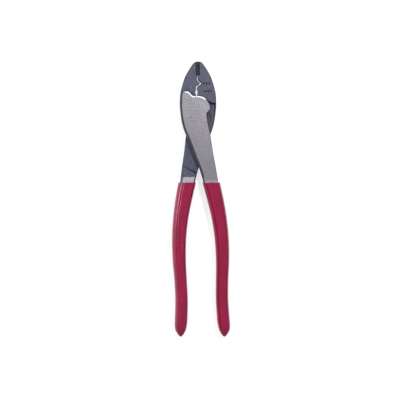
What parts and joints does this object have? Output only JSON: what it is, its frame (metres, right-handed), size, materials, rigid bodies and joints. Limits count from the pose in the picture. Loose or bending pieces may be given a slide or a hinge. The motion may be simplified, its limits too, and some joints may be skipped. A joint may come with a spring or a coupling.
{
  "type": "crimping and cutting pliers",
  "caption": "Long plier with a flush riveted lap joint, tapered nose with a gripping channel, crimping nests, shear cutter and dipped grips.",
  "frame": {"origin": "on the pivot axis, at the rear ground face of the lap joint", "axes": "the tool lies flat: +Z from the rear face to the front face, +Y along the tool towards the nose, +X towards the front half's handle"},
  "size_m": [0.0525, 0.2482, 0.0127],
  "materials": {
    "forged_steel": "black oxide over the forged skin, with the joint's two outer faces ground bright",
    "rivet_steel": "ground flush with the joint's faces",
    "dipped_vinyl": "smooth dipped coating, crimson, slightly soft gloss"
  },
  "bodies": {
    "back": {"back_half": "forged_steel", "rivet": "rivet_steel", "back_grip": "dipped_vinyl"},
    "front": {"front_half": "forged_steel", "front_grip": "dipped_vinyl"}
  },
  "joints": [
    {"name": "pivot", "type": "hinge", "parent": "back", "child": "front", "pos_m": [0, 0, 0], "axis": [0, 0, 1], "range_deg": [0, 60]}
  ]
}
